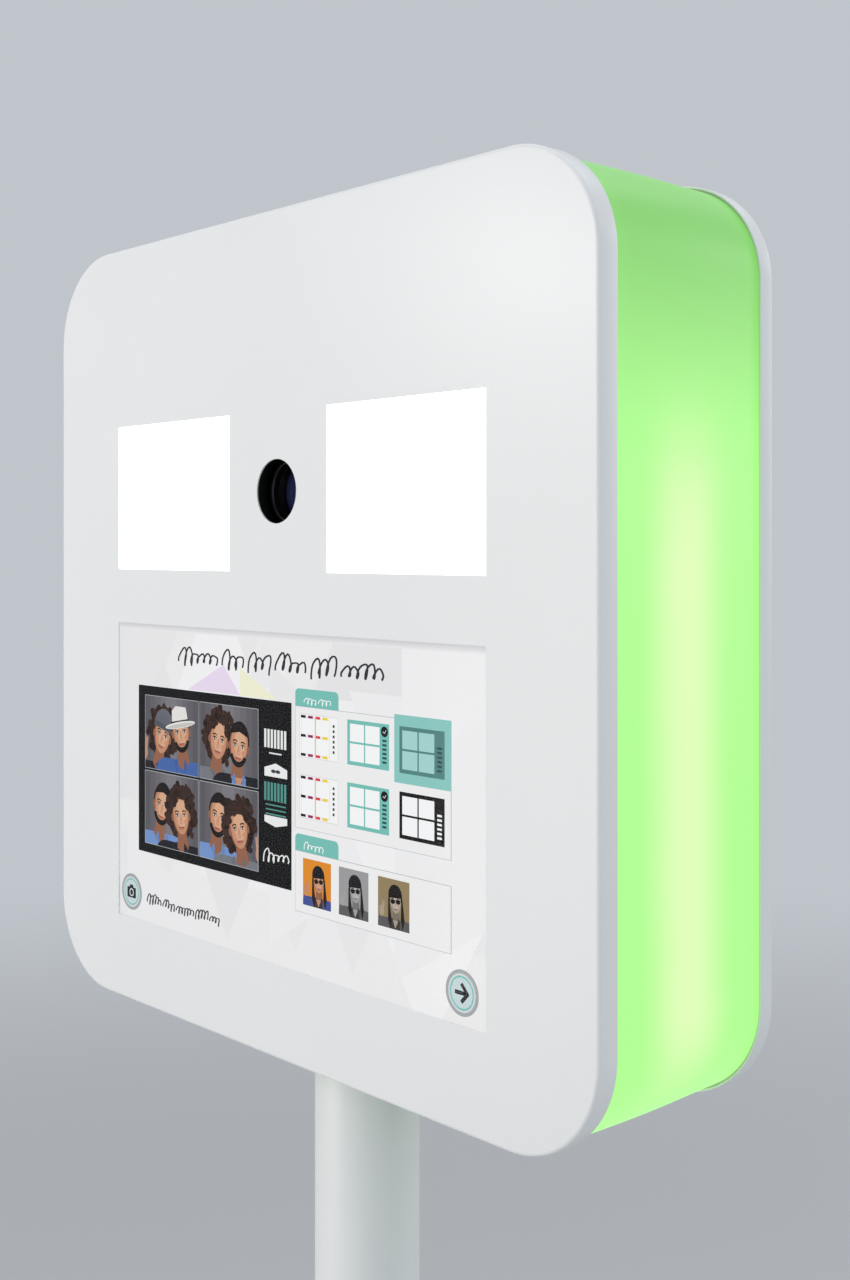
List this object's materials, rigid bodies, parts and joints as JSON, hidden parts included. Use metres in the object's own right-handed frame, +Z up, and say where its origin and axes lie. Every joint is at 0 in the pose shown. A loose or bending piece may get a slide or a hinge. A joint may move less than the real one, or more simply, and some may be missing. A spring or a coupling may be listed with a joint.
{
  "type": "photo booth",
  "caption": "Free-standing photo booth: a square glowing head with touch screen, camera and flash windows on a round column and weighted base, with a hinged rear service door.",
  "frame": {"origin": "on the floor, under the centre of the column and of the base", "axes": "+Z up, the screen and camera face -Y, +X points to the right of a person who faces the screen"},
  "size_m": [0.68, 0.46, 1.7],
  "materials": {
    "white_powder_coat": "smooth powder coat with a fine orange peel, satin gloss",
    "white_cover_coat": "satin powder coat",
    "opal_glow": "opal acrylic lit from inside, glowing soft green",
    "opal_light": "opal acrylic, lit evenly in white",
    "seal_rubber": "pale pinkish grey rubber",
    "zinc_steel": "zinc plated sheet with a faint spangle",
    "chrome_trim": "polished nickel plate",
    "screw_steel": "plated screws and nuts",
    "screen_glass": "clear touch glass over a lit picture",
    "screen_panel": "lit display panel",
    "dark_steel": "fine black texture coat",
    "camera_shell": "grained black polycarbonate",
    "lens_metal": "satin black anodised rings",
    "lens_coating": "coated glass with a blue reflection",
    "ribbed_rubber": "ribbed black rubber grip",
    "button_metal": "turned and anodised",
    "circuit_white": "white solder mask with yellow light chips",
    "case_grey": "dark grey case",
    "supply_aluminium": "perforated aluminium",
    "fan_plastic": "black moulded plastic",
    "socket_plastic": "black moulded plastic",
    "rocker_red": "red moulded plastic",
    "cable_black": "black cable sheath",
    "ballast_steel": "grey primed steel plate",
    "foot_rubber": "black moulded foot with a plated stud"
  },
  "bodies": {
    "booth": {"front_panel": "white_powder_coat", "side_band": "opal_glow", "rear_panel": "white_powder_coat", "band_seals": "seal_rubber", "hinge_panel_leaves": "chrome_trim", "hinge_pins": "chrome_trim", "chassis": "zinc_steel", "panel_straps": "zinc_steel", "panel_screws": "screw_steel", "glow_rails": "supply_aluminium", "glow_strips": "circuit_white", "touch_glass": "screen_glass", "screen_gasket": "seal_rubber", "lcd_panel": "screen_panel", "monitor_frame": "dark_steel", "monitor_housing": "dark_steel", "monitor_clamps": "zinc_steel", "flash_window_left": "opal_light", "flash_window_right": "opal_light", "light_boxes": "white_cover_coat", "led_boards": "circuit_white", "lens_shroud": "dark_steel", "camera_shelf": "zinc_steel", "tilt_yoke": "zinc_steel", "equipment_plate": "zinc_steel", "computer": "case_grey", "power_supply": "supply_aluminium", "screen_cable": "cable_black", "mains_cables": "cable_black", "fan_housing": "fan_plastic", "mains_inlet": "socket_plastic", "switch_case": "socket_plastic", "column_tube": "white_powder_coat", "column_flanges": "dark_steel", "collars": "white_cover_coat", "base_cover": "white_powder_coat", "ballast_plate": "ballast_steel", "stand_fasteners": "screw_steel"},
    "door": {"rear_door": "white_powder_coat", "door_stiffeners": "zinc_steel", "hinge_door_leaves": "chrome_trim", "lock_barrel": "chrome_trim"},
    "lock": {"lock_plug": "chrome_trim"},
    "fan": {"fan_rotor": "fan_plastic"},
    "camera": {"camera_cradle": "dark_steel", "tilt_pin": "screw_steel", "camera_body": "camera_shell", "lens_barrel": "lens_metal", "lens_glass": "lens_coating"},
    "clamp_knob": {"tilt_knob": "socket_plastic"},
    "zoom": {"zoom_ring": "ribbed_rubber"},
    "focus": {"focus_ring": "ribbed_rubber"},
    "shutter": {"shutter_button": "button_metal"},
    "dial": {"mode_dial": "button_metal"},
    "start_button": {"pc_button": "button_metal"},
    "switch": {"power_rocker": "rocker_red"},
    "front_left_foot": {"foot_front_left": "foot_rubber"},
    "front_right_foot": {"foot_front_right": "foot_rubber"},
    "rear_left_foot": {"foot_rear_left": "foot_rubber"},
    "rear_right_foot": {"foot_rear_right": "foot_rubber"}
  },
  "joints": [
    {"name": "door_hinge", "type": "hinge", "parent": "booth", "child": "door", "pos_m": [-0.23125, 0.101, 1.3275], "axis": [0, 0, 1], "range_deg": [0, 110]},
    {"name": "lock_turn", "type": "hinge", "parent": "door", "child": "lock", "pos_m": [0.206, 0.09, 1.3275], "axis": [0, 1, 0], "range_deg": [0, 90]},
    {"name": "fan_spin", "type": "hinge", "parent": "booth", "child": "fan", "pos_m": [0, 0.085, 1.61875], "axis": [0, 1, 0], "continuous": true},
    {"name": "camera_tilt", "type": "hinge", "parent": "booth", "child": "camera", "pos_m": [0, 0.002, 1.412], "axis": [1, 0, 0], "range_deg": [-5, 5]},
    {"name": "clamp_turn", "type": "hinge", "parent": "camera", "child": "clamp_knob", "pos_m": [0.03, 0.002, 1.412], "axis": [1, 0, 0], "range_deg": [0, 180]},
    {"name": "zoom_turn", "type": "hinge", "parent": "camera", "child": "zoom", "pos_m": [0, -0.042, 1.472], "axis": [0, 1, 0], "range_deg": [0, 70]},
    {"name": "focus_turn", "type": "hinge", "parent": "camera", "child": "focus", "pos_m": [0, -0.068, 1.472], "axis": [0, 1, 0], "range_deg": [0, 90]},
    {"name": "shutter_press", "type": "slide", "parent": "camera", "child": "shutter", "axis": [0, 0, -1], "range_m": [0, 0.0015], "stiffness_N_per_m": 400},
    {"name": "dial_turn", "type": "hinge", "parent": "camera", "child": "dial", "pos_m": [0.048, 0.002, 1.511], "axis": [0, 0, 1], "continuous": true},
    {"name": "start_press", "type": "slide", "parent": "booth", "child": "start_button", "axis": [0, -1, 0], "range_m": [0, 0.0012], "stiffness_N_per_m": 600},
    {"name": "power_rock", "type": "hinge", "parent": "booth", "child": "switch", "pos_m": [0.13, 0.094, 1.06625], "axis": [1, 0, 0], "range_deg": [-16, 0]},
    {"name": "front_left_level", "type": "slide", "parent": "booth", "child": "front_left_foot", "axis": [0, 0, -1], "range_m": [0, 0.01]},
    {"name": "front_right_level", "type": "slide", "parent": "booth", "child": "front_right_foot", "axis": [0, 0, -1], "range_m": [0, 0.01]},
    {"name": "rear_left_level", "type": "slide", "parent": "booth", "child": "rear_left_foot", "axis": [0, 0, -1], "range_m": [0, 0.01]},
    {"name": "rear_right_level", "type": "slide", "parent": "booth", "child": "rear_right_foot", "axis": [0, 0, -1], "range_m": [0, 0.01]}
  ]
}
